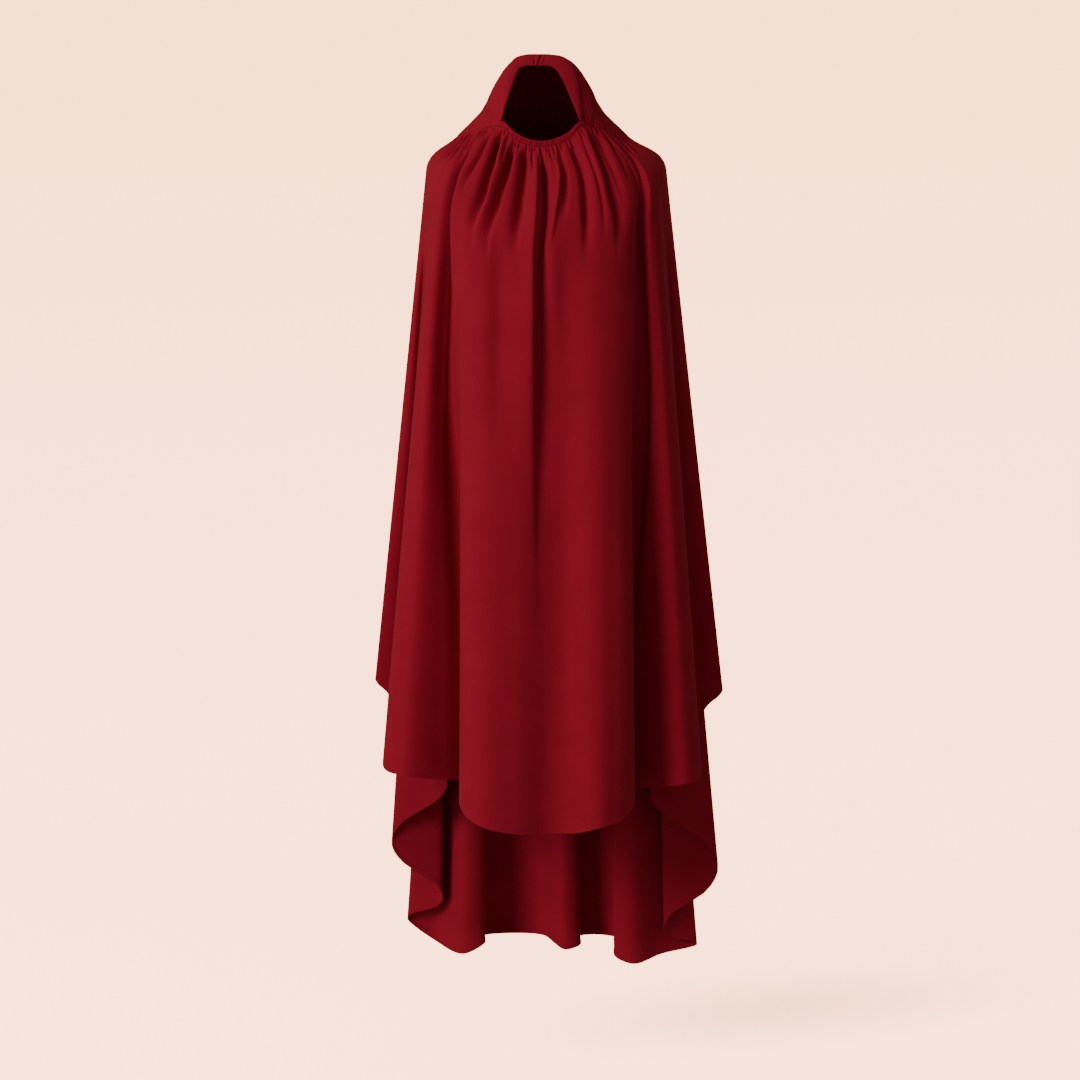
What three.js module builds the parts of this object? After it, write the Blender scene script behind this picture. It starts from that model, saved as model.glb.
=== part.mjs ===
// Khimar veil: a hood with an oval-bottomed face opening, a flat band round the
// opening, an elastic chin casing, and one long cape gathered below them.
// Millimetres, +Z up, the face opening looks towards -Y. The origin is the top
// of the inside of the hood, where a head carries the veil.
import * as THREE from "three";

// Cloth and joins
const clothThickness = 2;
const bandThickness = 3;
const casingThickness = 3;
const casingHeight = 10;
const seamGap = 0.6;

// Hood, measured from the inside of its top
const seamHalfWidth = 142;
const seamLean = 3;
const seamSideDrop = 127;
const seamBackDepth = 120;
const openingHalfWidth = 65;
const openingTopDrop = 20;
const openingCornerDrop = 110;
const openingFront = 64;
const bandWidth = 18;
const chinDrop = 143;
const chinForward = 14;
const bandForward = 3;
const ribDepth = 2.5;

// Shoulders, chest and back that the cape falls from
const shoulderHalfWidth = 202;
const shoulderDrop = 60;
const shoulderLean = 9;
const chestDepth = 138;
const chestDrop = 205;
const backDepth = 115;
const backDrop = 115;

// Hem of the cape: longest at the back, shortest at the wrists
const hemHalfWidth = 300;
const hemDepth = 200;
const hemLean = 5;
const frontLength = 1279;
const wristLength = 1061;
const backLength = 1561;

// Gathers and the pleat at the centre front
const gatherDepth = 7;
const pleatDepth = 15;
const gatherReach = 175;

const clothColour = 0x7a0f18;

// Turns, in degrees from the centre front, where the chin casing ends, where the
// seam of hood and cape starts beside it, and where the front gathers end.
const casingEndTurn = 34;
const seamStartTurn = 36.5;
const gathersEndTurn = 66;

// Rows of numbers under the names of their columns.
const table = (columns, ...rows) => {
  const names = columns.split(" ");
  return rows.map((row) => Object.fromEntries(names.map((name, i) => [name, row[i]])));
};

// The chin casing's lower edge and the neck seam, from the centre front round to
// the centre back: turn is the place around the veil in degrees, across is a share
// of seamHalfWidth, front of openingFront, chin of chinForward, back of
// seamBackDepth, side of seamSideDrop and low of the drop from it to the chin.
const NECK = table(
  "turn across front chin back side low",
  [0, 0, 1, 1, 0, 1, 1],
  [12, 0.168, 1, 0.93, 0, 1, 0.85],
  [24, 0.33, 1, 0.7, 0, 1, 0.42],
  [34, 0.455, 1, 0.28, 0, 0.94, 0],
  [45, 0.6, 0.86, 0, 0, 0.935, 0],
  [62, 0.8, 0.54, 0, 0, 0.975, 0],
  [90, 1, 0, 0, 0.04, 1, 0],
  [118, 0.9, 0, 0, 0.5, 1.04, 0],
  [148, 0.52, 0, 0, 0.88, 1.075, 0],
  [180, 0, 0, 0, 1, 1.1, 0],
);

// The band round the face opening, from the middle of its top down to the chin
// corner, for the right and the left side of the photograph. inner and outer are
// shares of openingHalfWidth, innerDrop is a share of the way from openingTopDrop
// to openingCornerDrop, and rise is the share of bandWidth that the band stands
// above its inner edge.
const BAND = table(
  "innerRight innerLeft outerRight outerLeft innerDrop rise",
  [-0.11, -0.11, -0.09, -0.09, 0, 1.03],
  [0.15, -0.36, 0.28, -0.41, 0.0, 0.97],
  [0.33, -0.54, 0.68, -0.72, 0.04, 0.62],
  [0.52, -0.665, 0.89, -0.92, 0.22, 0.12],
  [0.7, -0.8, 0.965, -0.975, 0.505, 0.22],
  [0.865, -0.92, 1.03, -1.03, 0.78, 0.12],
  [0.985, -1.0, 1.06, -1.06, 1, 0.08],
);

// How the hood runs from its top to its lower edge, at the sides and beside the
// opening: each across is the share of the way out that goes with the share down.
const HOOD = table(
  "down side beside",
  [0, 0, 0],
  [0.008, 0.17, 0.29],
  [0.035, 0.255, 0.46],
  [0.1, 0.32, 0.6],
  [0.2, 0.385, 0.72],
  [0.34, 0.465, 0.82],
  [0.5, 0.57, 0.9],
  [0.68, 0.7, 0.955],
  [0.84, 0.845, 0.98],
  [0.93, 0.935, 0.99],
  [1, 1, 1],
);

// Hem of the cape, a row or two for each fold, turn as above. right and left are
// shares of hemHalfWidth, the depths of hemDepth (minus is forwards), and each drop
// is a share of the way from wristLength to backLength, or for the front rows
// (front: 1) of the way from wristLength to frontLength.
const FOLDS = table(
  "name turn front right rightDepth rightDrop left leftDepth leftDrop",
  ["front middle", 0, 1, 0.01, -0.86, 1, 0.01, -0.86, 1],
  ["front swell", 12, 1, 0.165, -0.93, 0.985, -0.165, -0.93, 0.985],
  ["front roll", 25, 1, 0.316, -0.95, 0.93, -0.327, -0.95, 0.935],
  ["roll corner", 34, 1, 0.405, -0.86, 0.9, -0.42, -0.86, 0.875],
  ["roll edge", 41, 1, 0.487, -0.66, 0.79, -0.47, -0.66, 0.79],
  ["front valley", 49, 1, 0.45, -0.27, 0.76, -0.42, -0.25, 0.7],
  ["valley flank", 55, 1, 0.6, -0.37, 0.73, -0.56, -0.36, 0.67],
  ["second fold", 61, 1, 0.79, -0.48, 0.68, -0.775, -0.48, 0.62],
  ["second edge", 70, 1, 0.885, -0.33, 0.65, -0.903, -0.33, 0.575],
  ["wrist valley", 79, 1, 0.86, -0.08, 0.36, -0.85, -0.08, 0.22],
  ["wrist hem", 85, 1, 0.94, 0.02, 0.155, -0.9, 0.02, 0.055],
  ["wrist corner", 89, 1, 1.005, 0.07, 0.08, -0.95, 0.07, -0.01],
  ["wrist tip", 92, 1, 1.027, 0.1, 0.03, -0.967, 0.1, -0.055],
  ["wrist back", 96, 1, 0.92, 0.17, 0.09, -0.86, 0.17, -0.02],
  ["side turn in", 99.5, 0, 0.68, 0.245, 0.32, -0.62, 0.245, 0.27],
  ["side turn", 102, 0, 0.62, 0.28, 0.4, -0.56, 0.28, 0.36],
  ["side turn out", 104.5, 0, 0.68, 0.31, 0.455, -0.61, 0.31, 0.41],
  ["first layer in", 109, 0, 0.965, 0.405, 0.585, -0.84, 0.405, 0.51],
  ["first layer", 112, 0, 1.025, 0.45, 0.67, -0.893, 0.45, 0.58],
  ["first layer out", 115, 0, 0.965, 0.49, 0.75, -0.84, 0.49, 0.645],
  ["second layer in", 119, 0, 0.745, 0.56, 0.85, -0.63, 0.56, 0.74],
  ["second layer", 122, 0, 0.715, 0.6, 0.91, -0.6, 0.6, 0.79],
  ["second layer out", 125, 0, 0.745, 0.65, 0.935, -0.63, 0.65, 0.825],
  ["third layer in", 128.5, 0, 0.89, 0.715, 0.96, -0.79, 0.715, 0.86],
  ["third layer", 131, 0, 0.917, 0.75, 0.975, -0.813, 0.75, 0.88],
  ["third layer out", 134, 0, 0.88, 0.77, 0.985, -0.785, 0.79, 0.905],
  ["back corner", 140, 0, 0.7, 0.68, 1, -0.645, 0.8, 0.965],
  ["back roll", 147, 0, 0.53, 0.52, 1.02, -0.475, 0.58, 0.99],
  ["back edge", 153, 0, 0.425, 0.6, 1, -0.355, 0.66, 0.96],
  ["back valley", 159, 0, 0.455, 0.92, 0.97, -0.375, 0.9, 0.958],
  ["back bed", 166, 0, 0.323, 1.02, 0.965, -0.21, 1.02, 0.96],
  ["middle flank", 172, 0, 0.2, 0.94, 0.965, 0, 0.95, 0.96],
  ["middle edge", 176, 0, 0.215, 0.75, 0.975, 0.07, 0.76, 0.97],
  ["back middle", 180, 0, 0.127, 0.68, 0.985, 0.127, 0.68, 0.985],
);

// Valleys that the gathered seam throws into the cape: turn at the seam and low, the
// turn at the lower end, and width, in degrees; deep as a share of gatherDepth, and
// reach as a share of gatherReach below the seam.
const GATHERS = table(
  "turn low width deep reach",
  [-61, -60, 3.5, 0.5, 0.6],
  [-54, -55, 3.5, 0.6, 0.7],
  [-45.5, -50.5, 4, 1.2, 0.9],
  [-37, -42, 3.5, 1.2, 1.1],
  [-31, -33, 3.5, 1.3, 1.2],
  [-24, -22.5, 3.5, 1.2, 1.05],
  [-15, -14.5, 3.5, 1.2, 1.05],
  [14.5, 6, 3.5, 1, 1],
  [24, 18, 4.5, 1, 1.1],
  [37, 32, 4, 1.3, 1.25],
  [47, 41, 3.5, 0.7, 1.15],
  [54, 47, 3.5, 0.6, 0.7],
  [62, 60, 3.5, 0.5, 0.6],
);

// The pleat at the centre front with the ridge that leans over it, and the valleys
// that run down from the shoulders. deep is a share of pleatDepth (minus stands
// out); start, full, hold and end say where each grows and fades, in shares of the
// way from the seam to the shoulder line (below 0) and from there to the hem.
const PLEATS = table(
  "turn width deep start full hold end",
  [0.5, 3.6, 0.9, -0.9, -0.2, 0.05, 0.35],
  [-5, 4.6, -0.45, -0.8, -0.2, 0.1, 0.4],
  [-5, 8, 0.5, 0.25, 0.6, 0.8, 1.4],
  [-50, 6, 0.9, -0.6, 0, 0.25, 0.85],
  [53, 6, 0.9, -0.6, 0, 0.25, 0.85],
  [-74, 6, 1.1, -0.3, 0.1, 0.3, 0.8],
  [74, 6, 1.1, -0.3, 0.1, 0.3, 0.8],
);

const radians = THREE.MathUtils.degToRad;
const { lerp, smoothstep, clamp } = THREE.MathUtils;
const raised = (value, power) => Math.sign(value) * Math.abs(value) ** power;

// A closed smooth line through rows that hold a turn and a point, as a function of turn.
function loopThrough(rows) {
  const line = new THREE.CatmullRomCurve3(rows.map((row) => row.point), true, "centripetal");
  const count = rows.length;
  return (turn) => {
    const wanted = ((((turn - rows[0].turn) % 360) + 360) % 360) + rows[0].turn;
    let index = count - 1;
    while (index > 0 && rows[index].turn > wanted) index -= 1;
    const next = index + 1 < count ? rows[index + 1].turn : rows[0].turn + 360;
    const share = (wanted - rows[index].turn) / (next - rows[index].turn);
    return line.getPoint((index + share) / count);
  };
}

// Rows for the whole turn, left side first, from a table of one side.
function bothSides(table, pointOf) {
  const right = table.map((row) => ({ turn: row.turn, point: pointOf(row, 1) }));
  const left = table.slice(1, -1).map((row) => ({ turn: -row.turn, point: pointOf(row, -1) }));
  return [...left.reverse(), ...right];
}

const neckLine = loopThrough(
  bothSides(NECK, (row, side) => {
    const chinEdge = chinDrop + casingHeight;
    return new THREE.Vector3(
      row.across * (side * seamHalfWidth + seamLean),
      -row.front * openingFront - row.chin * chinForward + row.back * seamBackDepth,
      -lerp(row.side * seamSideDrop, chinEdge, row.low),
    );
  }),
);

const hemLine = loopThrough(
  bothSides(FOLDS, (row, side) => {
    const drop = side > 0 ? row.rightDrop : row.leftDrop;
    return new THREE.Vector3(
      hemLean + (side > 0 ? row.right : row.left) * hemHalfWidth,
      (side > 0 ? row.rightDepth : row.leftDepth) * hemDepth,
      -lerp(wristLength, row.front ? frontLength : backLength, drop),
    );
  }),
);

// The round of the shoulders, chest and back, from which the cape hangs straight.
function shoulderLine(turn) {
  const sideways = Math.sin(radians(turn));
  const forwards = Math.cos(radians(turn));
  const low = forwards > 0 ? chestDrop : backDrop;
  return new THREE.Vector3(
    shoulderLean + raised(sideways, 0.92) * shoulderHalfWidth,
    -raised(forwards, 0.92) * (forwards > 0 ? chestDepth : backDepth),
    -seamSideDrop - lerp(shoulderDrop, low, Math.abs(forwards) ** 1.35),
  );
}

// The way the cloth leaves the seam: out over the shoulder and down.
function slopeAtSeam(turn) {
  const seam = neckLine(turn);
  const shoulder = shoulderLine(turn);
  const span = seam.distanceTo(shoulder);
  const slope = new THREE.Vector3(shoulder.x - seam.x, shoulder.y - seam.y, 0);
  return slope.setZ(-0.6 * slope.length() - 0.27 * span).normalize();
}

// The outward direction of the cloth at the seam, which the hood and the cape share.
function outwardAtSeam(turn) {
  const around = neckLine(turn + 1).sub(neckLine(turn - 1));
  return slopeAtSeam(turn).cross(around).normalize();
}

// One line down the cape without its gathers: a curve over the shoulder, then
// straight to the hem. down is 0 at the seam, 1 at the shoulder line, 2 at the hem.
function capeBase(turn, down) {
  const seam = neckLine(turn);
  const shoulder = shoulderLine(turn);
  const hem = hemLine(turn);
  if (down >= 1) return shoulder.lerp(hem, down - 1);
  const fall = hem.clone().sub(shoulder).normalize();
  const span = seam.distanceTo(shoulder);
  const first = seam.clone().addScaledVector(slopeAtSeam(turn), span * 0.36);
  const second = shoulder.clone().addScaledVector(fall, -span * 0.44);
  return new THREE.CubicBezierCurve3(seam, first, second, shoulder).getPoint(down);
}

// How far the cloth stands in (plus) or out from that line at the gathers and the pleat.
function gathered(turn, down, belowSeam) {
  const bump = (middle, width) => Math.exp(-(((turn - middle) / width) ** 2) * 2.2);
  let inwards = 0;
  for (const row of GATHERS) {
    const reach = row.reach * gatherReach;
    const middle = lerp(row.turn, row.low, clamp(belowSeam / reach, 0, 1));
    const fade = smoothstep(belowSeam, 0, reach * 0.2) * (1 - smoothstep(belowSeam, reach * 0.35, reach));
    inwards += row.deep * gatherDepth * bump(middle, row.width) * fade;
  }
  for (const row of PLEATS) {
    const place = down - 1;
    const fade = smoothstep(place, row.start, row.full) * (1 - smoothstep(place, row.hold, row.end));
    inwards += row.deep * pleatDepth * bump(row.turn, row.width) * fade;
  }
  return inwards;
}

// Outward directions of a grid of points, columns around and rows down.
function outwardOf(grid, closed) {
  const last = grid.length - 1;
  return grid.map((column, i) =>
    column.map((point, j) => {
      const before = grid[closed ? (i + last) % grid.length : Math.max(i - 1, 0)][j];
      const after = grid[closed ? (i + 1) % grid.length : Math.min(i + 1, last)][j];
      const around = after.clone().sub(before);
      const down = column[Math.min(j + 1, column.length - 1)].clone().sub(column[Math.max(j - 1, 0)]);
      if (around.lengthSq() < 1e-9) return new THREE.Vector3(0, 0, 1);
      return down.cross(around).normalize();
    }),
  );
}

// Collects triangles of points and makes them a closed mesh.
class Skin {
  constructor() {
    this.points = [];
  }
  triangle(a, b, c) {
    if (a.distanceTo(b) < 1e-6 || b.distanceTo(c) < 1e-6 || c.distanceTo(a) < 1e-6) return;
    this.points.push(a, b, c);
  }
  quad(a, b, c, d) {
    if (a.distanceTo(c) <= b.distanceTo(d)) {
      this.triangle(a, b, c);
      this.triangle(a, c, d);
    } else {
      this.triangle(a, b, d);
      this.triangle(b, c, d);
    }
  }
  geometry() {
    const made = new THREE.BufferGeometry().setFromPoints(this.points);
    made.computeVertexNormals();
    return made;
  }
}

// Cloth of one thickness that lies inside a grid closed around itself. The seam
// edge, the first or the last row, may be given its outward directions.
function clothTube(grid, thickness, seamRow, seamOutward) {
  const outward = outwardOf(grid, true);
  seamOutward.forEach((given, i) => {
    if (given) outward[i][seamRow] = given;
  });
  const inside = grid.map((column, i) =>
    column.map((point, j) => point.clone().addScaledVector(outward[i][j], -thickness)),
  );
  const skin = new Skin();
  const lastRow = grid[0].length - 1;
  for (let i = 0; i < grid.length; i += 1) {
    const k = (i + 1) % grid.length;
    for (let j = 0; j < lastRow; j += 1) {
      skin.quad(grid[i][j], grid[i][j + 1], grid[k][j + 1], grid[k][j]);
      skin.quad(inside[i][j], inside[k][j], inside[k][j + 1], inside[i][j + 1]);
    }
    if (grid[i][0].distanceTo(grid[k][0]) > 1e-6) {
      skin.quad(grid[i][0], grid[k][0], inside[k][0], inside[i][0]);
    }
    skin.quad(grid[i][lastRow], inside[i][lastRow], inside[k][lastRow], grid[k][lastRow]);
  }
  return skin.geometry();
}

// A strip whose sections, each a ring of points, follow one another from end to end.
function strip(sections) {
  const skin = new Skin();
  const size = sections[0].length;
  for (let i = 0; i + 1 < sections.length; i += 1) {
    for (let j = 0; j < size; j += 1) {
      const k = (j + 1) % size;
      skin.quad(sections[i][j], sections[i][k], sections[i + 1][k], sections[i + 1][j]);
    }
  }
  const first = sections[0];
  const final = sections[sections.length - 1];
  for (let j = 1; j + 1 < size; j += 1) {
    skin.triangle(first[0], first[j + 1], first[j]);
    skin.triangle(final[0], final[j], final[j + 1]);
  }
  return skin.geometry();
}

// Inner or outer edge of the band, from the left chin corner over the top (0) to
// the right chin corner; place runs from minus 1 to plus 1.
function bandEdge(which) {
  const heightOf = (row) => lerp(openingTopDrop, openingCornerDrop, row.innerDrop);
  const pointOf = (row, side) => {
    const share = row[which + (side > 0 ? "Right" : "Left")];
    const rise = which === "outer" ? row.rise * bandWidth : 0;
    return new THREE.Vector3(share * openingHalfWidth, 0, rise - heightOf(row));
  };
  const left = BAND.slice(1).map((row) => pointOf(row, -1)).reverse();
  const right = BAND.map((row) => pointOf(row, 1));
  const line = new THREE.CatmullRomCurve3([...left, ...right], false, "centripetal");
  return (place) => {
    const point = line.getPoint((place + 1) / 2);
    const low = clamp((-point.z - openingTopDrop) / (openingCornerDrop - openingTopDrop), 0, 1);
    return point.setY(-openingFront - low * bandForward);
  };
}

const bandInner = bandEdge("inner");
const bandOuter = bandEdge("outer");

// Face band: a flat folded strip, slightly full in the middle of its width.
function faceBand() {
  const sections = [];
  const steps = 30;
  for (let i = 0; i <= steps; i += 1) {
    const place = lerp(-1, 1, i / steps);
    const inner = bandInner(place);
    const outer = bandOuter(place);
    const middle = inner.clone().lerp(outer, 0.5);
    const half = bandThickness / 2;
    sections.push([
      inner.clone().setY(inner.y + half * 0.7),
      middle.clone().setY(middle.y + half),
      outer.clone().setY(outer.y + half * 0.7),
      outer.clone().setY(outer.y - half * 0.7),
      middle.clone().setY(middle.y - half),
      inner.clone().setY(inner.y - half * 0.7),
    ]);
  }
  return strip(sections);
}

// Chin casing: the narrow elastic channel from one chin corner to the other.
function chinCasing() {
  const sections = [];
  const steps = 28;
  for (let i = 0; i <= steps; i += 1) {
    const turn = lerp(-casingEndTurn, casingEndTurn, i / steps);
    const low = neckLine(turn);
    const ahead = neckLine(turn + 0.5).sub(neckLine(turn - 0.5)).normalize();
    const up = new THREE.Vector3(-ahead.z, 0, ahead.x).normalize();
    const out = new THREE.Vector3(ahead.y, -ahead.x, 0).normalize();
    const height = casingHeight - seamGap;
    const half = casingThickness / 2;
    const base = low.clone().addScaledVector(up, seamGap).addScaledVector(out, -clothThickness / 2);
    const at = (rise, forward) =>
      base.clone().addScaledVector(up, rise * height).addScaledVector(out, forward * half);
    sections.push([at(0, 0.6), at(0, -0.6), at(0.5, -1), at(1, -0.6), at(1, 0.6), at(0.5, 1)]);
  }
  return strip(sections);
}

// Hood: lines from its top down to the band, and past the chin corners to the seam.
function hood() {
  const bottom = [];
  const archSteps = 22;
  for (let i = 0; i <= archSteps; i += 1) {
    const place = lerp(-1, 1, i / archSteps);
    const edge = bandOuter(place);
    edge.y = -openingFront + bandThickness / 2 + seamGap;
    edge.x *= 0.985;
    bottom.push({ edge, beside: 1, fromFront: 0, outward: null });
  }
  const seamSteps = 44;
  for (let i = 0; i <= seamSteps; i += 1) {
    const turn = lerp(seamStartTurn, 360 - seamStartTurn, i / seamSteps);
    const fromFront = Math.min(turn, 360 - turn);
    const edge = neckLine(turn);
    edge.z += seamGap;
    const beside = 1 - smoothstep(fromFront, casingEndTurn, 92);
    bottom.push({ edge, beside, fromFront, outward: outwardAtSeam(turn) });
  }
  const grid = bottom.map(({ edge, beside, fromFront }) =>
    HOOD.map((row) => {
      const across = lerp(row.side, row.beside, beside);
      const ribs = smoothstep(fromFront, 36, 46) * (1 - smoothstep(fromFront, 78, 90));
      const fade = smoothstep(row.down, 0.1, 0.5) * (1 - smoothstep(row.down, 0.7, 1));
      const rib = ribDepth * ribs * fade * Math.cos(radians(fromFront * 24));
      const reach = Math.hypot(edge.x, edge.y);
      const share = across + rib / reach;
      const height = lerp(clothThickness, edge.z, row.down);
      return new THREE.Vector3(edge.x * share, edge.y * share, height);
    }),
  );
  const outward = bottom.map((column) => column.outward);
  return clothTube(grid, clothThickness, HOOD.length - 1, outward);
}

// Places around the cape where its columns stand: close over the gathers, and at
// the rows of the folds elsewhere, with one between where the rows stand apart.
function capeTurns() {
  const turns = [];
  const steps = 66;
  for (let i = 0; i <= steps; i += 1) {
    turns.push(lerp(-gathersEndTurn, gathersEndTurn, i / steps));
  }
  const sides = FOLDS.map((row) => row.turn).filter((turn) => turn > gathersEndTurn);
  let from = gathersEndTurn;
  const right = [];
  for (const turn of sides) {
    if (turn - from > 4) right.push(lerp(from, turn, 0.5));
    right.push(turn);
    from = turn;
  }
  turns.push(...right);
  turns.push(...right.slice(0, -1).reverse().map((turn) => 360 - turn));
  return turns;
}

// Cape: gathered at the seam, rounded over the shoulders, straight to the hem.
function cape() {
  const downs = [0, 0.09, 0.2, 0.34, 0.5, 0.67, 0.84, 1, 1.08, 1.17, 1.29, 1.45, 1.7, 2];
  const turns = capeTurns();
  const base = turns.map((turn) => downs.map((down) => capeBase(turn, down)));
  const outward = outwardOf(base, true);
  const grid = base.map((column, i) => {
    let belowSeam = 0;
    return column.map((point, j) => {
      if (j > 0) belowSeam += point.distanceTo(column[j - 1]);
      const turn = turns[i] > 180 ? turns[i] - 360 : turns[i];
      return point.clone().addScaledVector(outward[i][j], -gathered(turn, downs[j], belowSeam));
    });
  });
  return clothTube(grid, clothThickness, 0, turns.map(outwardAtSeam));
}

const crepe = new THREE.MeshStandardMaterial({ color: clothColour, roughness: 0.85, metalness: 0 });

function piece(name, geometry) {
  const mesh = new THREE.Mesh(geometry, crepe.clone());
  mesh.name = name;
  return mesh;
}

const veil = new THREE.Group();
veil.add(piece("hood", hood()));
veil.add(piece("face_band", faceBand()));
veil.add(piece("chin_casing", chinCasing()));
veil.add(piece("cape", cape()));

export default veil;
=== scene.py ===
import math
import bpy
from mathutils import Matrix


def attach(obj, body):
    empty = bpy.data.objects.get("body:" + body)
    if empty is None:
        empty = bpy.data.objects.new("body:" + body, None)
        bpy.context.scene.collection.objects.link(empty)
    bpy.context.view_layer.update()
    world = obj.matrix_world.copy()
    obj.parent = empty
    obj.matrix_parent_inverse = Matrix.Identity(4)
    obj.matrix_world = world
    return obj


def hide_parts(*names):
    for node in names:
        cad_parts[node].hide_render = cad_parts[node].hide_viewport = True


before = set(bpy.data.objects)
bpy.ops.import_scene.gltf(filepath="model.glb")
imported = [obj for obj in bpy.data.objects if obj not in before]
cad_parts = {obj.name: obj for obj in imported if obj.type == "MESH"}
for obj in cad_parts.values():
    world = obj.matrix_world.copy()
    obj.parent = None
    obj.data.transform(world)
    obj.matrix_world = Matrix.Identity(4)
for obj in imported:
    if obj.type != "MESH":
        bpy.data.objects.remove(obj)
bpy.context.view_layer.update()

from types import SimpleNamespace

import bpy
import numpy as np
from mathutils import Vector

# Hood. The real one is a soft cap of crepe cut in one with the sides of the neck;
# it sits on the crown, frames the face, and runs down to the seam of the cape.
# Sizes are millimetres from the inside of its top, and the face looks towards -Y.
cloth_thickness = 1.2
hood_rise = 2.0
seam_gap = 0.6
seam_half_width = 142
seam_lean = 3
seam_side_drop = 127
seam_back_depth = 120
opening_half_width = 65
opening_top_drop = 20
opening_corner_drop = 110
opening_front = 64
band_width = 18
band_thickness = 3
band_forward = 3
chin_drop = 143
chin_forward = 14
casing_height = 10
casing_end_turn = 34
seam_start_turn = 36.5

# Fine wrinkles beside the face: the depth of the even ribs in mm, then how many loose
# ones, where round the seam in degrees, their drift on the way up and widths in
# degrees, the share of the way down where they start, and their depths in mm.
rib_depth = 1.6
wrinkle_count = 34
wrinkle_turns = (38, 88)
wrinkle_drifts = (-20, 12)
wrinkle_widths = (0.8, 2.0)
wrinkle_starts = (0.1, 0.5)
wrinkle_depths = (0.8, 2.2)


def table(columns, *rows):
    """Rows of numbers under named columns."""
    names = columns.split()
    return [SimpleNamespace(**dict(zip(names, row))) for row in rows]


def eased(value, start, end):
    """0 before start, 1 after end, and a smooth rise between them."""
    share = np.clip((np.asarray(value, float) - start) / (end - start), 0, 1)
    return share * share * (3 - 2 * share)


def mixed(a, b, share):
    return a + (b - a) * share


def smooth_line(points, closed):
    """A smooth line through points, as a function of the place counted in points."""
    points = np.array(points, float)
    count = len(points)
    if closed:
        ring = points[np.arange(-1, count + 2) % count]
    else:
        ring = np.vstack([2 * points[0] - points[1], points, 2 * points[-1] - points[-2]])
    steps = np.maximum(np.linalg.norm(np.diff(ring, axis=0), axis=1), 1e-6) ** 0.5
    spans = count if closed else count - 1

    def at(place):
        place = np.asarray(place, float)
        index = np.clip(np.floor(place).astype(int), 0, spans - 1)
        share = (place - index)[..., None]
        before, here, after, beyond = (ring[index + k] for k in range(4))
        first, middle, last = (steps[index + k][..., None] for k in range(3))
        leave = ((here - before) / first - (after - before) / (first + middle)
                 + (after - here) / middle) * middle
        reach = ((after - here) / middle - (beyond - here) / (middle + last)
                 + (beyond - after) / last) * middle
        cubic = 2 * here - 2 * after + leave + reach
        square = -3 * here + 3 * after - 2 * leave - reach
        return ((cubic * share + square) * share + leave) * share + here

    return at


def loop_through(rows):
    """A closed line through (turn, point) rows, as a function of turn in degrees."""
    turns = np.array([turn for turn, _ in rows], float)
    line = smooth_line([point for _, point in rows], closed=True)
    ends = np.append(turns, turns[0] + 360)

    def at(turn):
        wanted = (np.asarray(turn, float) - turns[0]) % 360 + turns[0]
        index = np.clip(np.searchsorted(ends, wanted, side="right") - 1, 0, len(turns) - 1)
        return line(index + (wanted - ends[index]) / (ends[index + 1] - ends[index]))

    return at


def both_sides(rows, point_of):
    """(turn, point) rows for the whole way round, from a table of one side."""
    left = [(-row.turn, point_of(row, -1)) for row in rows[1:-1]]
    return left[::-1] + [(row.turn, point_of(row, 1)) for row in rows]


# Neck seam from the centre front (turn 0) round to the centre back (turn 180), as
# shares of the seam's sizes; low is the share of the drop to the chin.
neck_rows = table(
    "turn across front chin back side low",
    (0, 0, 1, 1, 0, 1, 1),
    (12, 0.168, 1, 0.93, 0, 1, 0.85),
    (24, 0.33, 1, 0.7, 0, 1, 0.42),
    (34, 0.455, 1, 0.28, 0, 0.94, 0),
    (45, 0.6, 0.86, 0, 0, 0.935, 0),
    (62, 0.8, 0.54, 0, 0, 0.975, 0),
    (90, 1, 0, 0, 0.04, 1, 0),
    (118, 0.9, 0, 0, 0.5, 1.04, 0),
    (148, 0.52, 0, 0, 0.88, 1.075, 0),
    (180, 0, 0, 0, 1, 1.1, 0),
)


def neck_point(row, side):
    return (
        row.across * (side * seam_half_width + seam_lean),
        -row.front * opening_front - row.chin * chin_forward + row.back * seam_back_depth,
        -mixed(row.side * seam_side_drop, chin_drop + casing_height, row.low),
    )


neck_line = loop_through(both_sides(neck_rows, neck_point))

# Edges of the face band from the middle of its top down to the chin corner, as
# shares of opening_half_width; inner_drop is the share of the way from the top of
# the opening to its corner, rise the share of band_width above the inner edge.
band_rows = table(
    "inner_right inner_left outer_right outer_left inner_drop rise",
    (-0.11, -0.11, -0.09, -0.09, 0, 1.03),
    (0.15, -0.36, 0.28, -0.41, 0, 0.97),
    (0.33, -0.54, 0.68, -0.72, 0.04, 0.62),
    (0.52, -0.665, 0.89, -0.92, 0.22, 0.12),
    (0.7, -0.8, 0.965, -0.975, 0.505, 0.22),
    (0.865, -0.92, 1.03, -1.03, 0.78, 0.12),
    (0.985, -1.0, 1.06, -1.06, 1, 0.08),
)


def band_edge(which):
    """Inner or outer edge of the band; place runs from -1, left corner, to 1."""
    def point(row, side):
        share = getattr(row, f"{which}_{'right' if side > 0 else 'left'}")
        rise = row.rise * band_width if which == "outer" else 0
        height = rise - mixed(opening_top_drop, opening_corner_drop, row.inner_drop)
        return (share * opening_half_width, 0, height)

    points = [point(row, -1) for row in band_rows[:0:-1]] + [point(row, 1) for row in band_rows]
    line = smooth_line(points, closed=False)

    def at(place):
        found = line((np.asarray(place, float) + 1) / 2 * (len(points) - 1))
        opening_height = opening_corner_drop - opening_top_drop
        low = np.clip((-found[..., 2] - opening_top_drop) / opening_height, 0, 1)
        found[..., 1] = -opening_front - low * band_forward
        return found

    return at


band_inner = band_edge("inner")
band_outer = band_edge("outer")

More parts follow.
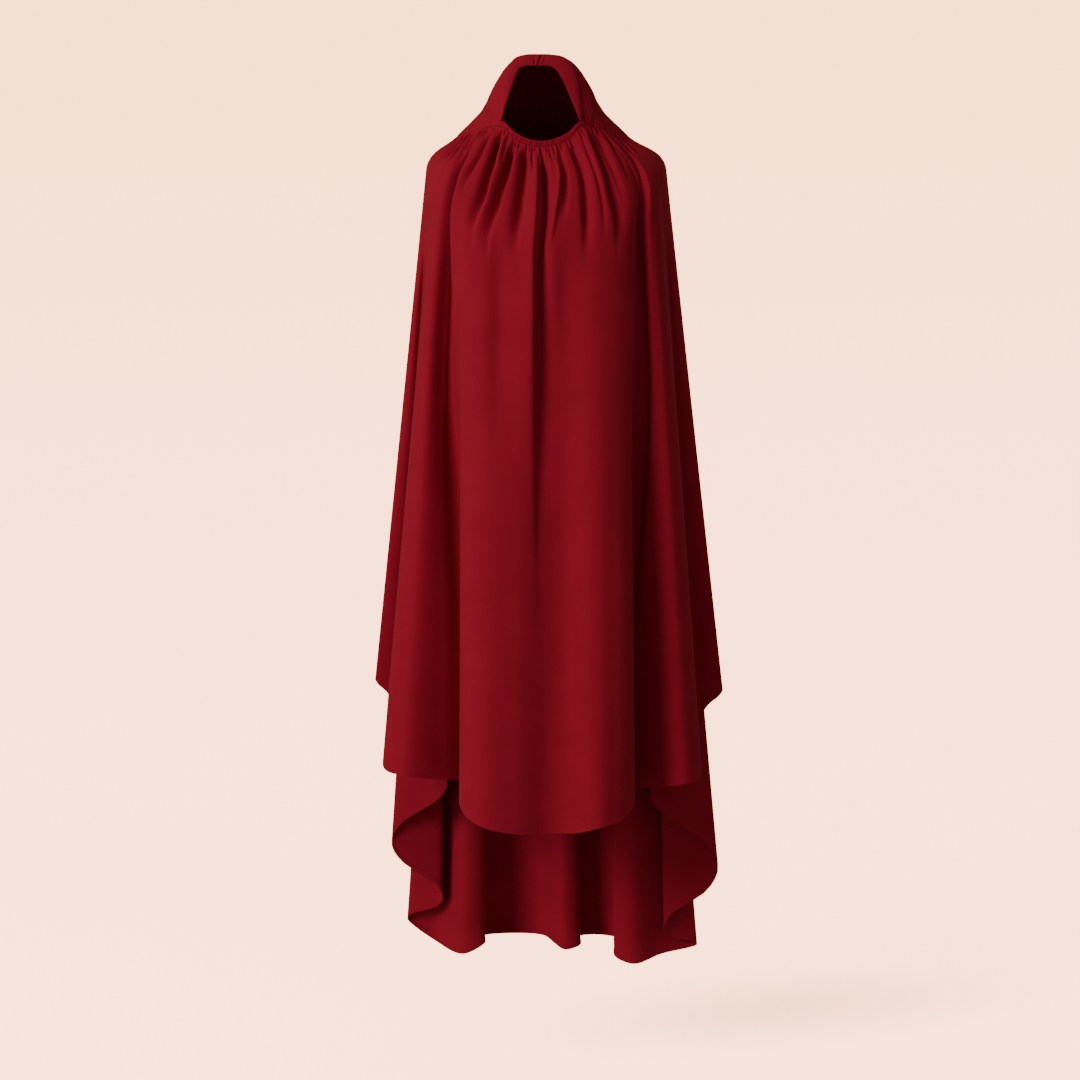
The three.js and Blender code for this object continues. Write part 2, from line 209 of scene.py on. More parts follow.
# How the hood runs from its top to its lower edge: the share of the way out at its
# sides and back, and beside the opening, for each share of the way down.
hood_rows = table(
    "down side beside",
    (0, 0, 0),
    (0.008, 0.17, 0.29),
    (0.035, 0.255, 0.46),
    (0.1, 0.32, 0.6),
    (0.2, 0.385, 0.72),
    (0.34, 0.465, 0.82),
    (0.5, 0.57, 0.9),
    (0.68, 0.7, 0.955),
    (0.84, 0.845, 0.98),
    (0.93, 0.935, 0.99),
    (1, 1, 1),
)


def outward_of(grid, closed):
    """Outward directions of a grid of points, columns around and rows down."""
    if closed:
        around = np.roll(grid, -1, axis=0) - np.roll(grid, 1, axis=0)
    else:
        around = np.gradient(grid, axis=0)
    outward = np.cross(np.gradient(grid, axis=1), around)
    length = np.linalg.norm(outward, axis=-1, keepdims=True)
    return np.where(length > 1e-9, outward / np.maximum(length, 1e-9), (0, 0, 1))


def cloth_mesh(name, outer, inner, closed):
    """A closed skin of cloth between two grids of points in millimetres."""
    columns, rows = outer.shape[:2]
    far = columns * rows
    index = np.arange(far).reshape(columns, rows)
    here = index if closed else index[:-1]
    ahead = np.roll(index, -1, axis=0) if closed else index[1:]
    quads = [
        (here[:, :-1], here[:, 1:], ahead[:, 1:], ahead[:, :-1]),
        (far + here[:, :-1], far + ahead[:, :-1], far + ahead[:, 1:], far + here[:, 1:]),
        (here[:, 0], ahead[:, 0], far + ahead[:, 0], far + here[:, 0]),
        (here[:, -1], far + here[:, -1], far + ahead[:, -1], ahead[:, -1]),
    ]
    if not closed:
        quads.append((index[0, :-1], far + index[0, :-1], far + index[0, 1:], index[0, 1:]))
        quads.append((index[-1, :-1], index[-1, 1:], far + index[-1, 1:], far + index[-1, :-1]))
    faces = np.concatenate([np.stack([side.ravel() for side in quad], axis=1) for quad in quads])
    points = np.concatenate([outer.reshape(-1, 3), inner.reshape(-1, 3)]) * 0.001
    mesh = bpy.data.meshes.new(name)
    mesh.from_pydata(points.tolist(), [], faces.tolist())
    mesh.update()
    mesh.shade_smooth()
    mesh.set_sharp_from_angle(angle=math.radians(55))
    piece = bpy.data.objects.new(name, mesh)
    bpy.context.scene.collection.objects.link(piece)
    return piece


def thin(grid, thickness, closed):
    """The inner side of cloth whose outer side is the grid."""
    return grid - outward_of(grid, closed) * np.asarray(thickness, float)[..., None]


def linear(code):
    """A colour written as sRGB hex, as linear light."""
    channels = [int(code[i:i + 2], 16) / 255 for i in (1, 3, 5)]
    return tuple(c / 12.92 if c <= 0.04045 else ((c + 0.055) / 1.055) ** 2.4 for c in channels) + (1,)


def add_node(tree, kind, settings=None, **links):
    """Adds a node, with its settings, and links or sets its inputs by name."""
    node = tree.nodes.new(kind)
    for key, value in (settings or {}).items():
        setattr(node, key, value)
    for key, value in links.items():
        name = key.replace("_", " ")
        socket = node.inputs[int(key[1:])] if key[0] == "i" and key[1:].isdigit() else node.inputs[name]
        if isinstance(value, bpy.types.NodeSocket):
            tree.links.new(value, socket)
        else:
            socket.default_value = value
    return node


# Crepe georgette, polyester, woven from hard twisted yarn: matt, with a pebbled
# face of about 0.8 mm, drawn here at 3 mm so that it shows, and a faint bloom of
# loose fibre. Dyed crimson, it takes light unevenly by a few per cent.
crepe_colour = "#93182c"
crepe_shade = "#881528"
crepe_bloom = "#d0606a"
crepe_pebble = 3.0
crepe_yarn = 1.6
crepe_cloud = 60.0
crepe_relief = 0.25
crepe = bpy.data.materials.new("crimson_crepe")
crepe.use_nodes = True
tree = crepe.node_tree
tree.nodes.clear()
cloth_place = add_node(tree, "ShaderNodeTexCoord").outputs["Object"]
cloud = add_node(tree, "ShaderNodeTexNoise", Vector=cloth_place, Scale=1000 / crepe_cloud, Detail=3.0)
pebble = add_node(tree, "ShaderNodeTexNoise", Vector=cloth_place, Scale=1000 / crepe_pebble, Detail=2.0)
yarn = add_node(tree, "ShaderNodeTexVoronoi", Vector=cloth_place, Scale=1000 / crepe_yarn)
uneven = add_node(tree, "ShaderNodeMath", {"operation": "MULTIPLY_ADD"},
                  i0=pebble.outputs["Fac"], i1=0.35, i2=cloud.outputs["Fac"])
spread = add_node(tree, "ShaderNodeMapRange", Value=uneven.outputs[0])
spread.inputs["From Min"].default_value = 0.35
spread.inputs["From Max"].default_value = 1.05
dye = add_node(tree, "ShaderNodeMix", {"data_type": "RGBA"}, i0=spread.outputs[0],
               i6=linear(crepe_shade), i7=linear(crepe_colour))
grain = add_node(tree, "ShaderNodeMath", {"operation": "MULTIPLY_ADD"},
                 i0=yarn.outputs["Distance"], i1=0.4, i2=pebble.outputs["Fac"])
bump = add_node(tree, "ShaderNodeBump", Height=grain.outputs[0], Strength=0.35,
                Distance=crepe_relief * 0.001)
skin = add_node(tree, "ShaderNodeBsdfPrincipled", Normal=bump.outputs["Normal"], Roughness=0.9,
                IOR=1.46)
tree.links.new(dye.outputs[2], skin.inputs["Base Color"])
skin.inputs["Specular IOR Level"].default_value = 0.12
skin.inputs["Sheen Weight"].default_value = 0.06
skin.inputs["Sheen Roughness"].default_value = 0.5
skin.inputs["Sheen Tint"].default_value = linear(crepe_bloom)
add_node(tree, "ShaderNodeOutputMaterial", Surface=skin.outputs[0])


def finish_piece(piece, material, node):
    """Gives a piece its cloth and puts it in the place of its plain solid."""
    piece.data.materials.append(material)
    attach(piece, "root")
    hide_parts(node)


arch_steps = 110
seam_steps = 230
hood_steps = 62
arch_place = np.linspace(-1, 1, arch_steps)
arch = band_outer(arch_place)
arch[:, 1] = -opening_front + band_thickness / 2 + seam_gap
arch[:, 0] *= 0.985
seam_turn = np.linspace(seam_start_turn, 360 - seam_start_turn, seam_steps)
seam = neck_line(seam_turn)
seam[:, 2] += seam_gap
from_front = np.concatenate([np.zeros(arch_steps), np.minimum(seam_turn, 360 - seam_turn)])
edge = np.vstack([arch, seam])
beside = np.where(from_front > 0, 1 - eased(from_front, casing_end_turn, 92), 1)[:, None]
hood_line = smooth_line([(row.down, row.side, row.beside) for row in hood_rows], closed=False)
profile = hood_line(np.linspace(0, 1, hood_steps) ** 0.8 * (len(hood_rows) - 1))
down = np.clip(profile[:, 0], 0, 1)[None, :]
across = mixed(profile[None, :, 1], profile[None, :, 2], beside)
ribs = eased(from_front, 36, 46) * (1 - eased(from_front, 78, 96))
rib_wave = np.cos(np.radians(from_front * 24)) + 0.5 * np.cos(np.radians(from_front * 53 + 40))
rib = rib_depth * (ribs * rib_wave)[:, None] * eased(down, 0.1, 0.5) * (1 - eased(down, 0.75, 1))
signed_turn = np.where(edge[:, 0] > 0, from_front, -from_front)[:, None]
wrinkle_chance = np.random.default_rng(19)
for _ in range(wrinkle_count):
    wrinkle_turn = wrinkle_chance.uniform(*wrinkle_turns)
    wrinkle_side = wrinkle_chance.choice((-1, 1))
    drift = wrinkle_chance.uniform(*wrinkle_drifts) * (1 - down)
    wrinkle_width = wrinkle_chance.uniform(*wrinkle_widths)
    wrinkle_fade = eased(down, wrinkle_chance.uniform(*wrinkle_starts), 0.85)
    apart = (signed_turn * wrinkle_side - wrinkle_turn - drift) / wrinkle_width
    rib = rib - wrinkle_chance.uniform(*wrinkle_depths) * np.exp(-2.2 * apart ** 2) * wrinkle_fade
out_share = across + rib / np.hypot(edge[:, 0], edge[:, 1])[:, None]
hood_grid = np.stack([
    edge[:, None, 0] * out_share,
    edge[:, None, 1] * out_share,
    mixed(hood_rise, edge[:, None, 2], down),
], axis=-1)
hood = cloth_mesh("hood_cloth", hood_grid, thin(hood_grid, cloth_thickness, True), True)
finish_piece(hood, crepe, "hood")

# Face band: a strip of the same crepe folded double and sewn round the face
# opening, flat at the sides and pinched into small folds at the top.
# Swell is how far it stands out in front at its edges and at its middle, and lean how
# far its inner and outer edges lie forwards and back, in millimetres.
band_steps = 220
band_across = 15
band_edge_swell = 1.0
band_middle_swell = 1.5
band_back_swell = 0.9
band_inner_lean = -1.6
band_outer_lean = 2.4

# Pinches at the top: place, slant and width as shares of half the band's length,
# height in mm (minus stands in), and inner, 1 where it dies out to the outer edge.
pinch_rows = table(
    "place slant width high inner",
    (0.015, 0.035, 0.011, -2.6, 0),
    (-0.01, 0.035, 0.016, 1.4, 0),
    (0.045, 0.035, 0.02, 1.2, 0),
    (-0.035, 0, 0.012, -3.0, 1),
)
band_place = np.linspace(-1, 1, band_steps)[:, None]
width_share = np.linspace(0, 1, band_across)[None, :]
pinch = sum(
    row.high * (1 - row.inner * width_share)
    * np.exp(-((band_place - row.slant * width_share - row.place) / row.width) ** 2)
    for row in pinch_rows
)
full = 1 - np.abs(2 * width_share - 1) ** 2.6
swell = band_edge_swell + full * band_middle_swell + pinch * eased(width_share, -0.2, 0.3)
lean = mixed(band_inner_lean, band_outer_lean, width_share) * np.ones_like(band_place)
band_middle = mixed(band_inner(band_place), band_outer(band_place), width_share[..., None])
band_front = band_middle + np.stack([0 * swell, lean - swell, 0 * swell], axis=-1)
band_back = band_middle + np.stack([0 * swell, lean + band_back_swell, 0 * swell], axis=-1)
band = cloth_mesh("face_band_cloth", band_front, band_back, False)
finish_piece(band, crepe, "face_band")

# Chin casing: a narrow channel of the same crepe that holds an elastic under the
# chin; the elastic draws it up, so that it is finely ruched all along.
# Edge and bulge are how far it stands out at its edges and at its middle, in mm.
casing_steps = 260
casing_rows = 14
casing_sewn_turn = 36.9
casing_set_back = 1.0
casing_front_edge = 0.7
casing_front_bulge = 0.5
casing_back_edge = 0.4
casing_back_bulge = 0.9
casing_ruche_waves = 9
casing_ruche_depth = 0.16
casing_turn = np.linspace(-casing_sewn_turn, casing_sewn_turn, casing_steps)
along = neck_line(casing_turn + 0.5) - neck_line(casing_turn - 0.5)
along /= np.linalg.norm(along, axis=1, keepdims=True)
up = np.stack([-along[:, 2], 0 * casing_turn, along[:, 0]], axis=1)
up /= np.linalg.norm(up, axis=1, keepdims=True)
up = mixed(up, np.array((0, 0, 1)), eased(np.abs(casing_turn), 20, casing_end_turn)[:, None])
out = np.stack([along[:, 1], -along[:, 0], 0 * casing_turn], axis=1)
out /= np.linalg.norm(out, axis=1, keepdims=True)
casing_chance = np.random.default_rng(41)
casing_ruche = np.zeros(casing_steps)
for _ in range(casing_ruche_waves):
    strength = casing_chance.uniform(0.3, 1)
    waves = casing_chance.uniform(180, 640)
    shift = casing_chance.uniform(0, 6.3)
    casing_ruche += strength * np.cos(np.radians(casing_turn * waves) + shift)
casing_up = np.linspace(0, 1, casing_rows)[None, :]
bulge = (1 - (2 * casing_up - 1) ** 2) ** 0.5
front = casing_front_edge + bulge * (casing_front_bulge + casing_ruche[:, None] * casing_ruche_depth)
back = casing_back_edge + bulge * casing_back_bulge
casing_base = neck_line(casing_turn) + up * seam_gap - out * casing_set_back
casing_middle = casing_base[:, None] + up[:, None] * casing_up[..., None] * (casing_height - seam_gap)
casing_front = casing_middle + out[:, None] * front[..., None]
casing_back = casing_middle - out[:, None] * back[..., None]
casing = cloth_mesh("chin_casing_cloth", casing_front[:, ::-1], casing_back[:, ::-1], False)
finish_piece(casing, crepe, "chin_casing")

# Cape: one wide length of the same crepe, gathered into the seam, that falls over
# the shoulders in long open folds; it is short at the wrists and long behind, and
# its edge is turned up in a narrow rolled hem.
shoulder_half_width = 202
shoulder_drop = 60
shoulder_lean = 9
chest_depth = 138
chest_drop = 205
back_depth = 115
back_drop = 115
hem_half_width = 300
hem_depth = 200
hem_lean = 5
front_length = 1279
wrist_length = 1061
back_length = 1561
mean_fall = 1167
hem_height = 7
hem_thickness = 2.0

# Hem of the cape, a row or two for each fold from the centre front to the centre
# back: across and depth are shares of the hem's half width and depth (minus is
# left, or forwards), and each drop the share of the way from the wrists' length
# down to the front's (front 1) or the back's.
fold_rows = table(
    "name turn front right right_depth right_drop left left_depth left_drop",
    ("front middle", 0, 1, 0.01, -0.86, 1, 0.01, -0.86, 1),
    ("front swell", 12, 1, 0.165, -0.93, 0.985, -0.165, -0.93, 0.985),
    ("front roll", 25, 1, 0.316, -0.95, 0.93, -0.327, -0.95, 0.935),
    ("roll corner", 34, 1, 0.405, -0.86, 0.9, -0.42, -0.86, 0.875),
    ("roll edge", 41, 1, 0.487, -0.66, 0.79, -0.47, -0.66, 0.79),
    ("front valley", 49, 1, 0.45, -0.27, 0.76, -0.42, -0.25, 0.7),
    ("valley flank", 55, 1, 0.6, -0.37, 0.73, -0.56, -0.36, 0.67),
    ("second fold", 61, 1, 0.79, -0.48, 0.68, -0.775, -0.48, 0.62),
    ("second edge", 70, 1, 0.885, -0.33, 0.65, -0.903, -0.33, 0.575),
    ("wrist valley", 79, 1, 0.86, -0.08, 0.36, -0.85, -0.08, 0.22),
    ("wrist hem", 85, 1, 0.94, 0.02, 0.155, -0.9, 0.02, 0.055),
    ("wrist corner", 89, 1, 1.005, 0.07, 0.08, -0.95, 0.07, -0.01),
    ("wrist tip", 92, 1, 1.027, 0.1, 0.03, -0.967, 0.1, -0.055),
    ("wrist back", 96, 1, 0.92, 0.17, 0.09, -0.86, 0.17, -0.02),
    ("side turn in", 99.5, 0, 0.68, 0.245, 0.32, -0.62, 0.245, 0.27),
    ("side turn", 102, 0, 0.62, 0.28, 0.4, -0.56, 0.28, 0.36),
    ("side turn out", 104.5, 0, 0.68, 0.31, 0.455, -0.61, 0.31, 0.41),
    ("first layer in", 109, 0, 0.965, 0.405, 0.585, -0.84, 0.405, 0.51),
    ("first layer", 112, 0, 1.025, 0.45, 0.67, -0.893, 0.45, 0.58),
    ("first layer out", 115, 0, 0.965, 0.49, 0.75, -0.84, 0.49, 0.645),
    ("second layer in", 119, 0, 0.745, 0.56, 0.85, -0.63, 0.56, 0.74),
    ("second layer", 122, 0, 0.715, 0.6, 0.91, -0.6, 0.6, 0.79),
    ("second layer out", 125, 0, 0.745, 0.65, 0.935, -0.63, 0.65, 0.825),
    ("third layer in", 128.5, 0, 0.89, 0.715, 0.96, -0.79, 0.715, 0.86),
    ("third layer", 131, 0, 0.917, 0.75, 0.975, -0.813, 0.75, 0.88),
    ("third layer out", 134, 0, 0.88, 0.77, 0.985, -0.785, 0.79, 0.905),
    ("back corner", 140, 0, 0.7, 0.68, 1, -0.645, 0.8, 0.965),
    ("back roll", 147, 0, 0.53, 0.52, 1.02, -0.475, 0.58, 0.99),
    ("back edge", 153, 0, 0.425, 0.6, 1, -0.355, 0.66, 0.96),
    ("back valley", 159, 0, 0.455, 0.92, 0.97, -0.375, 0.9, 0.958),
    ("back bed", 166, 0, 0.323, 1.02, 0.965, -0.21, 1.02, 0.96),
    ("middle flank", 172, 0, 0.2, 0.94, 0.965, 0, 0.95, 0.96),
    ("middle edge", 176, 0, 0.215, 0.75, 0.975, 0.07, 0.76, 0.97),
    ("back middle", 180, 0, 0.127, 0.68, 0.985, 0.127, 0.68, 0.985),
)


def hem_point(row, side):
    word = "right" if side > 0 else "left"
    across, depth, drop = (getattr(row, word + end) for end in ("", "_depth", "_drop"))
    length = front_length if row.front else back_length
    return (
        hem_lean + across * hem_half_width,
        depth * hem_depth,
        -mixed(wrist_length, length, drop),
    )


hem_line = loop_through(both_sides(fold_rows, hem_point))


def shoulder_line(turn):
    """The round of the shoulders, chest and back, from which the cape hangs."""
    sideways = np.sin(np.radians(turn))
    forwards = np.cos(np.radians(turn))
    drop = np.where(forwards > 0, chest_drop, back_drop)
    depth = np.where(forwards > 0, chest_depth, back_depth)
    return np.stack([
        shoulder_lean + np.sign(sideways) * np.abs(sideways) ** 0.92 * shoulder_half_width,
        -np.sign(forwards) * np.abs(forwards) ** 0.92 * depth,
        -seam_side_drop - mixed(shoulder_drop, drop, np.abs(forwards) ** 1.35),
    ], axis=-1)


def cape_base(turn, down):
    """The cape without its gathers: down is 0 at the seam, 1 at the shoulder line
    and 2 at the hem."""
    turn, down = np.broadcast_arrays(np.asarray(turn, float), np.asarray(down, float))
    seam = neck_line(turn)
    shoulder = shoulder_line(turn)
    hem = hem_line(turn)
    fall = hem - shoulder
    fall /= np.linalg.norm(fall, axis=-1, keepdims=True)
    span = np.linalg.norm(shoulder - seam, axis=-1, keepdims=True)
    slope = shoulder - seam
    level = np.hypot(slope[..., 0], slope[..., 1])
    slope[..., 2] = -0.6 * level - 0.27 * span[..., 0]
    slope /= np.linalg.norm(slope, axis=-1, keepdims=True)
    first = seam + slope * span * 0.36
    second = shoulder - fall * span * 0.44
    t = np.clip(down, 0, 1)[..., None]
    over = (1 - t) ** 3 * seam + t ** 3 * shoulder
    over += 3 * (1 - t) * t * ((1 - t) * first + t * second)
    under = mixed(shoulder, hem, np.clip(down - 1, 0, None)[..., None])
    return np.where(down[..., None] <= 1, over, under)


# Valleys of the gathers: turns at the seam and 60, 120 and 180 mm below it, widths
# in degrees to the left and the right, depth and reach below the seam in mm.
gather_rows = table(
    "seam high middle low left right deep reach",
    (-77.5, -72, -70, -69, 2.2, 1.6, 3.5, 70),
    (-72, -68, -67, -67, 2.2, 1.6, 4.0, 75),
    (-67, -62, -61, -61, 2.5, 1.8, 4.5, 80),
    (-62, -56, -55, -55, 2.5, 1.6, 4.5, 85),
    (-43, -40.5, -43, -45, 3.6, 1.6, 10.0, 135),
    (-33, -29.8, -30.5, -35, 5.0, 1.6, 17.0, 215),
    (-27, -25.5, -26, -27, 1.8, 1.2, 3.0, 60),
    (-20.5, -20, -22.5, -27.0, 5.6, 1.6, 19.0, 225),
    (-11, -9.8, -10.8, -12.6, 5.6, 1.6, 16.0, 215),
    (-6.5, -5.5, -5, -5, 1.8, 1.3, 3.0, 60),
    (13.5, 12, 8, 3.5, 3.4, 2.0, 6.5, 150),
    (22.5, 21.5, 18.5, 17.2, 3.2, 4.2, 10.0, 225),
    (31, 28.5, 27, 26, 1.6, 1.8, 3.5, 205),
    (39, 34.5, 32, 33.3, 2.0, 8.0, 13.0, 235),
    (46, 40, 38.5, 40, 1.6, 3.0, 4.0, 170),
    (52, 48, 46, 46, 1.8, 3.0, 4.0, 120),
    (66, 61, 60, 60, 1.8, 2.5, 3.5, 75),
    (72, 67, 66, 66, 1.8, 2.5, 3.5, 70),
)

# Long valleys: turns at the seam, 60, 120, 180, 250 and 450 mm below it and at the
# hem, widths in degrees at the top and low down, depth, and where each grows and
# fades in mm below the seam.
valley_places = (0, 60, 120, 180, 250, 450, 1130)
valley_rows = table(
    "t0 t1 t2 t3 t4 t5 t6 left right left_low right_low deep start full hold end",
    (0.2, 0, -0.6, -2.0, -2.8, -2.0, -2.0, 1.0, 3.8, 3.0, 9.0, 14, 0, 60, 250, 850),
    (7.5, 7.5, 7.5, 7.5, 7.5, 7.5, 7.5, 9, 12, 13, 13, 15, 130, 320, 1300, 1900),
    (-20, -20, -20, -20, -20, -20, -20, 8, 12, 9, 12, 9, 130, 240, 330, 600),
    (53, 53, 53, 53, 53, 53, 53, 16, 3, 16, 3, 10, 40, 110, 220, 420),
    (-57, -50.5, -50, -52.5, -52.8, -52.0, -44, 5.5, 1.5, 9.0, 2.4, 24, 5, 90, 420, 1050),
    (61, 59.0, 57, 53.5, 53.8, 54.3, 46, 5.0, 1.3, 8.0, 2.4, 13, 10, 130, 420, 1050),
)

# Ridges that stand out over the valleys, in the same columns.
ridge_rows = table(
    "t0 t1 t2 t3 t4 t5 t6 left right left_low right_low deep start full hold end",
    (-3.4, -3.4, -4.0, -5.2, -5.4, -4.8, -4.8, 5.0, 1.6, 8.0, 2.0, 7, 5, 60, 260, 620),
    (10.5, 8.3, 3.6, 0.2, -1.5, -2.5, -2.5, 1.8, 1.8, 1.6, 1.8, 5.5, 10, 60, 140, 215),
    (36, 36, 36, 36, 36, 36.5, 38.5, 9, 7, 9, 7, 7, 450, 900, 1300, 1900),
)

# The wings over the arms, which hang back behind the edge of the second fold.
wing_rows = table(
    "t0 t1 t2 t3 t4 t5 t6 left right left_low right_low deep start full hold end",
    (-69, -69.5, -70, -70.5, -70.5, -72, -77, 16, 3, 16, 4, 48, 80, 320, 800, 1500),
    (69, 69.5, 70, 70.5, 71, 73, 78, 4, 14, 4, 14, 34, 80, 320, 800, 1500),
)

# Ruches at the seam, evenly spread to ruche_turn on both sides and each a little off
# its place: depth, and reach below the seam, in millimetres.
ruche_count = 60
ruche_turn = 80
ruche_depth = 4.2
ruche_reach = 34


def dent(turn, middle, left, right):
    """1 along the middle of a fold and 0 beyond its widths."""
    apart = turn - middle
    return np.exp(-2.2 * (apart / np.where(apart < 0, left, right)) ** 2)


def long_folds(rows, turn, below):
    """Depth of the long folds of a table, by turn and way below the seam."""
    depth = np.zeros(np.broadcast(turn, below).shape)
    for row in rows:
        path = [getattr(row, f"t{k}") for k in range(7)]
        fade = eased(below, row.start, row.full) * (1 - eased(below, row.hold, row.end))
        middle = np.interp(below, valley_places, path)
        low = eased(below, 150, 450)
        left = mixed(row.left, row.left_low, low)
        right = mixed(row.right, row.right_low, low)
        depth += row.deep * fade * dent(turn, middle, left, right)
    return depth


def gathered(turn, below):
    """How far the cloth stands in, in millimetres, by turn and way below the seam."""
    inwards = long_folds(valley_rows, turn, below) - long_folds(ridge_rows, turn, below)
    for row in gather_rows:
        middle = np.interp(below, (0, 60, 120, 180), (row.seam, row.high, row.middle, row.low))
        fade = eased(below, 0, 30) * (1 - eased(below, row.reach * 0.55, row.reach))
        inwards += row.deep * fade * dent(turn, middle, row.left, row.right)
    chance = np.random.default_rng(7)
    for middle in np.linspace(-ruche_turn, ruche_turn, ruche_count):
        middle += chance.uniform(-0.9, 0.9)
        width = chance.uniform(0.7, 1.5)
        beside_face = eased(abs(middle), 34, 60)
        reach = ruche_reach * chance.uniform(0.4, 1.2) * (1 + 1.3 * beside_face)
        deep = ruche_depth * chance.uniform(0.25, 1) * (1 + 0.5 * beside_face)
        fade = eased(below, 0, 4) * (1 - eased(below, reach * 0.3, reach))
        inwards += deep * fade * dent(turn, middle, width, width)
    return inwards


# The mesh is finest round the pleat under the chin, and coarsest behind: columns is
# how many lie between two turns. On the way down it is finest at the seam.
column_rows = table(
    "start end columns",
    (-84, -8, 139),
    (-8, 6, 59),
    (6, 84, 139),
    (84, 276, 189),
)
over_steps = 54
fall_steps = 40
hem_start = 2 - hem_height / mean_fall
cape_turns = np.concatenate([
    np.linspace(row.start, row.end, row.columns, endpoint=False)
    for row in column_rows
])[:, None]
cape_downs = np.concatenate([
    np.linspace(0, 1, over_steps) ** 1.45,
    1 + np.linspace(0, 1, fall_steps)[1:-1] ** 1.2 * 0.993,
    [hem_start - 0.0005, hem_start, 2],
])[None, :]
base_grid = cape_base(cape_turns, cape_downs)
way = np.linalg.norm(np.diff(base_grid, axis=1), axis=-1)
below = np.concatenate([np.zeros((len(cape_turns), 1)), np.cumsum(way, axis=1)], axis=1)
signed_turns = np.where(cape_turns > 180, cape_turns - 360, cape_turns)
cape_grid = base_grid - outward_of(base_grid, True) * gathered(signed_turns, below)[..., None]
cape_grid[..., 1] += long_folds(wing_rows, signed_turns, below)
cape_thickness = np.where(cape_downs >= hem_start, hem_thickness, cloth_thickness)
cape = cloth_mesh("cape_cloth", cape_grid, thin(cape_grid, cape_thickness, True), True)
finish_piece(cape, crepe, "cape")

# Studio: a pale blush paper sweep all round, matt underfoot and bent up into a wall,
# that glows evenly, with a painted shadow, a soft shade in its glow, on the floor behind the right side.
# Sizes are metres; the parts are the shares of the rows up to the bend and the wall.
sweep_radius = 9.0
floor_level = -1.713
bend_radius = 1.6
wall_height = 14
bend_part = 0.35
wall_part = 0.7
sweep_rows = 26
sweep_columns = 96
floor_colour = "#ffb68f"
floor_glow = 6.12
wall_colour = "#fab480"
wall_glow = 5.459
glow_height = 2.4
matt_colour = "#f3e7e1"
# Painted shadow on the floor: the glow is dimmed to shade_level inside a soft ellipse of shade_size
# round shade_centre, turned by shade_turn.
shade_centre = (0.44, 0.31, floor_level)
shade_size = (0.62, 0.27, 0.4)
shade_turn = math.radians(22)
shade_level = 0.64
angle = np.linspace(0, 2 * math.pi, sweep_columns, endpoint=False)[:, None]
lift = np.linspace(0, 1, sweep_rows)[None, :]
flat = np.clip(lift / bend_part, 0, 1) * (sweep_radius - bend_radius)
curve = np.clip((lift - bend_part) / (wall_part - bend_part), 0, 1) * math.pi / 2
wall = np.clip((lift - wall_part) / (1 - wall_part), 0, 1) * wall_height
sweep_reach = flat + np.sin(curve) * bend_radius
sweep_level = floor_level + (1 - np.cos(curve)) * bend_radius + wall + 0 * angle
sweep_points = np.stack([np.cos(angle) * sweep_reach, np.sin(angle) * sweep_reach, sweep_level], axis=-1)
here = np.arange(sweep_columns * sweep_rows).reshape(sweep_columns, sweep_rows)
ahead = np.roll(here, -1, axis=0)
sweep_faces = np.stack([here[:, :-1], ahead[:, :-1], ahead[:, 1:], here[:, 1:]], axis=-1)
sweep_mesh = bpy.data.meshes.new("studio_sweep")
sweep_mesh.from_pydata(sweep_points.reshape(-1, 3).tolist(), [], sweep_faces.reshape(-1, 4).tolist())
sweep_mesh.shade_smooth()
sweep = bpy.data.objects.new("studio_sweep", sweep_mesh)
bpy.context.scene.collection.objects.link(sweep)
paper = bpy.data.materials.new("blush_paper")
paper.use_nodes = True
tree = paper.node_tree
tree.nodes.clear()
paper_place = add_node(tree, "ShaderNodeTexCoord").outputs["Object"]
paper_level = add_node(tree, "ShaderNodeSeparateXYZ", Vector=paper_place)
climb = add_node(tree, "ShaderNodeMapRange", Value=paper_level.outputs["Z"])
climb.inputs["From Min"].default_value = floor_level
climb.inputs["From Max"].default_value = floor_level + glow_height
glow = add_node(tree, "ShaderNodeMix", {"data_type": "RGBA"}, i0=climb.outputs[0],
                i6=[v * floor_glow for v in linear(floor_colour)],
                i7=[v * wall_glow for v in linear(wall_colour)])
# Painted shadow: the glow's strength falls smoothly to shade_level towards the middle of that ellipse.
shade_place = add_node(tree, "ShaderNodeMapping", {"vector_type": "TEXTURE"}, Vector=paper_place,
                       Location=shade_centre, Rotation=(0, 0, shade_turn), Scale=shade_size)
shade_reach = add_node(tree, "ShaderNodeVectorMath", {"operation": "LENGTH"}, i0=shade_place.outputs[0])
shade = add_node(tree, "ShaderNodeMapRange", {"interpolation_type": "SMOOTHSTEP"},
                 Value=shade_reach.outputs["Value"])
shade.inputs["From Min"].default_value = 0.0
shade.inputs["From Max"].default_value = 1.0
shade.inputs["To Min"].default_value = shade_level
shade.inputs["To Max"].default_value = 1.0
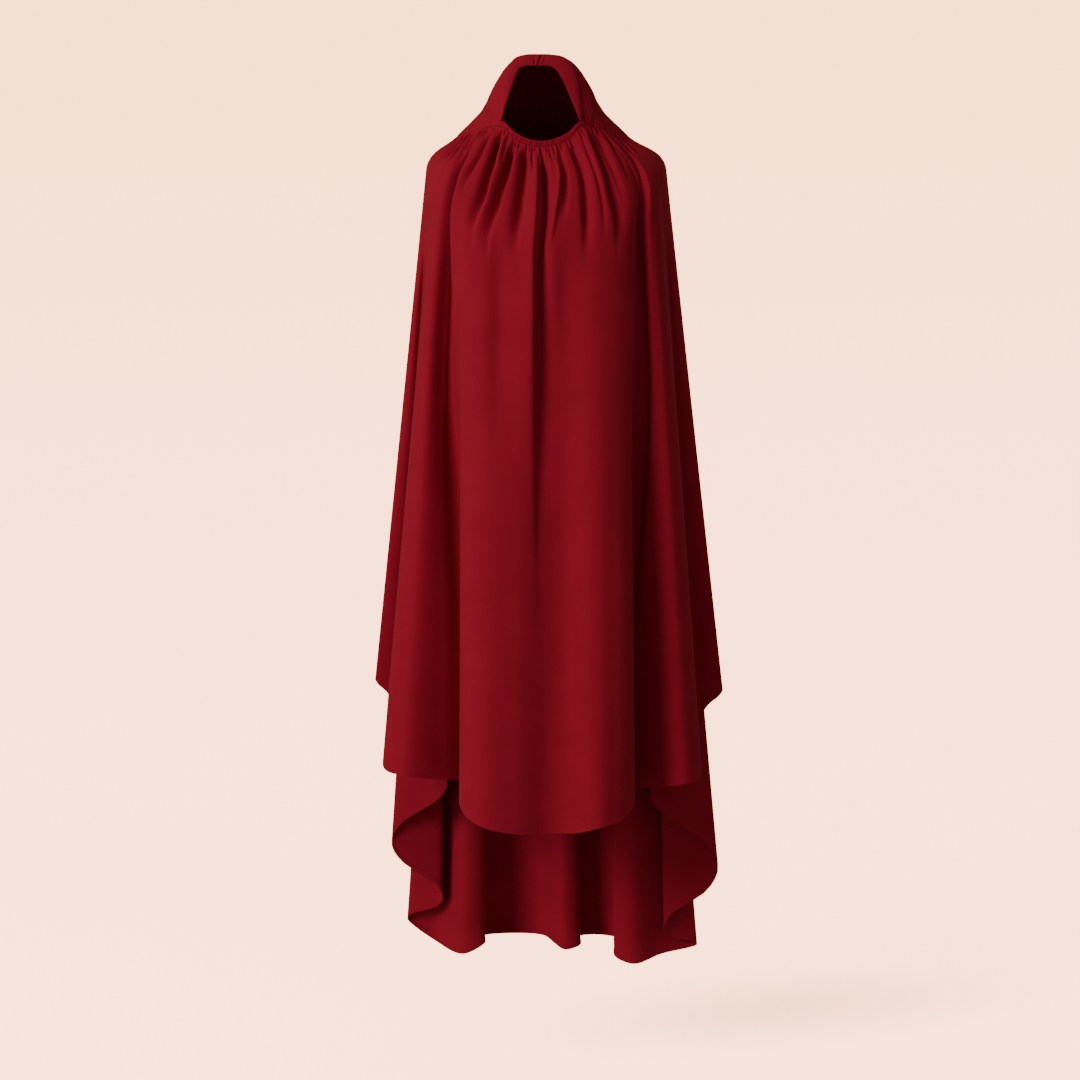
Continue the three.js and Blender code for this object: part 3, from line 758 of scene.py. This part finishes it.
lamp = add_node(tree, "ShaderNodeEmission", Color=glow.outputs[2], Strength=shade.outputs[0])
matt = add_node(tree, "ShaderNodeBsdfDiffuse", Color=linear(matt_colour))
both = add_node(tree, "ShaderNodeAddShader", i0=lamp.outputs[0], i1=matt.outputs[0])
add_node(tree, "ShaderNodeOutputMaterial", Surface=both.outputs[0])
sweep_mesh.materials.append(paper)
sweep.visible_diffuse = False
sweep.visible_glossy = False
sweep.visible_transmission = False
sweep.visible_shadow = False

# Studio light: one broad soft light in front on the left, higher than the hood, a
# weak one low beside it, and an even glow from all round.
light_colour = "#fff6f0"
glow_colour = "#f6e6dc"
glow_strength = 0.32


def soft_light(name, place, aim, size, power):
    data = bpy.data.lights.new(name, "AREA")
    data.shape = "DISK"
    data.size = size
    data.energy = power
    data.color = linear(light_colour)[:3]
    light = bpy.data.objects.new(name, data)
    light.location = place
    light.rotation_euler = (Vector(aim) - Vector(place)).to_track_quat("-Z", "Y").to_euler()
    bpy.context.scene.collection.objects.link(light)


soft_light("key_light", (-3.55, -3.15, 1.1), (0, 0, -0.8), 2.2, 184)
soft_light("low_light", (-1.9, -2.0, -1.4), (-0.1, 0, -1.3), 0.9, 5)
world = bpy.data.worlds.new("studio_glow")
world.use_nodes = True
glow_node = world.node_tree.nodes["Background"]
glow_node.inputs["Color"].default_value = linear(glow_colour)
glow_node.inputs["Strength"].default_value = glow_strength
bpy.context.scene.world = world

# Camera at the photograph's angle: straight in front, at the height of the chest, and
# tilted down by camera_rise towards the middle of the veil.
camera_target = Vector((-0.0015, 0, -0.808))
camera_distance = 4.0
camera_rise = math.radians(5)
camera_data = bpy.data.cameras.new("photo_camera")
camera_data.sensor_width = 36
camera_data.lens = 78.43
camera = bpy.data.objects.new("photo_camera", camera_data)
camera_way = Vector((0, -math.cos(camera_rise), math.sin(camera_rise)))
camera.location = camera_target + camera_way * camera_distance
camera.rotation_euler = (camera_target - camera.location).to_track_quat("-Z", "Y").to_euler()
bpy.context.scene.collection.objects.link(camera)
bpy.context.scene.camera = camera
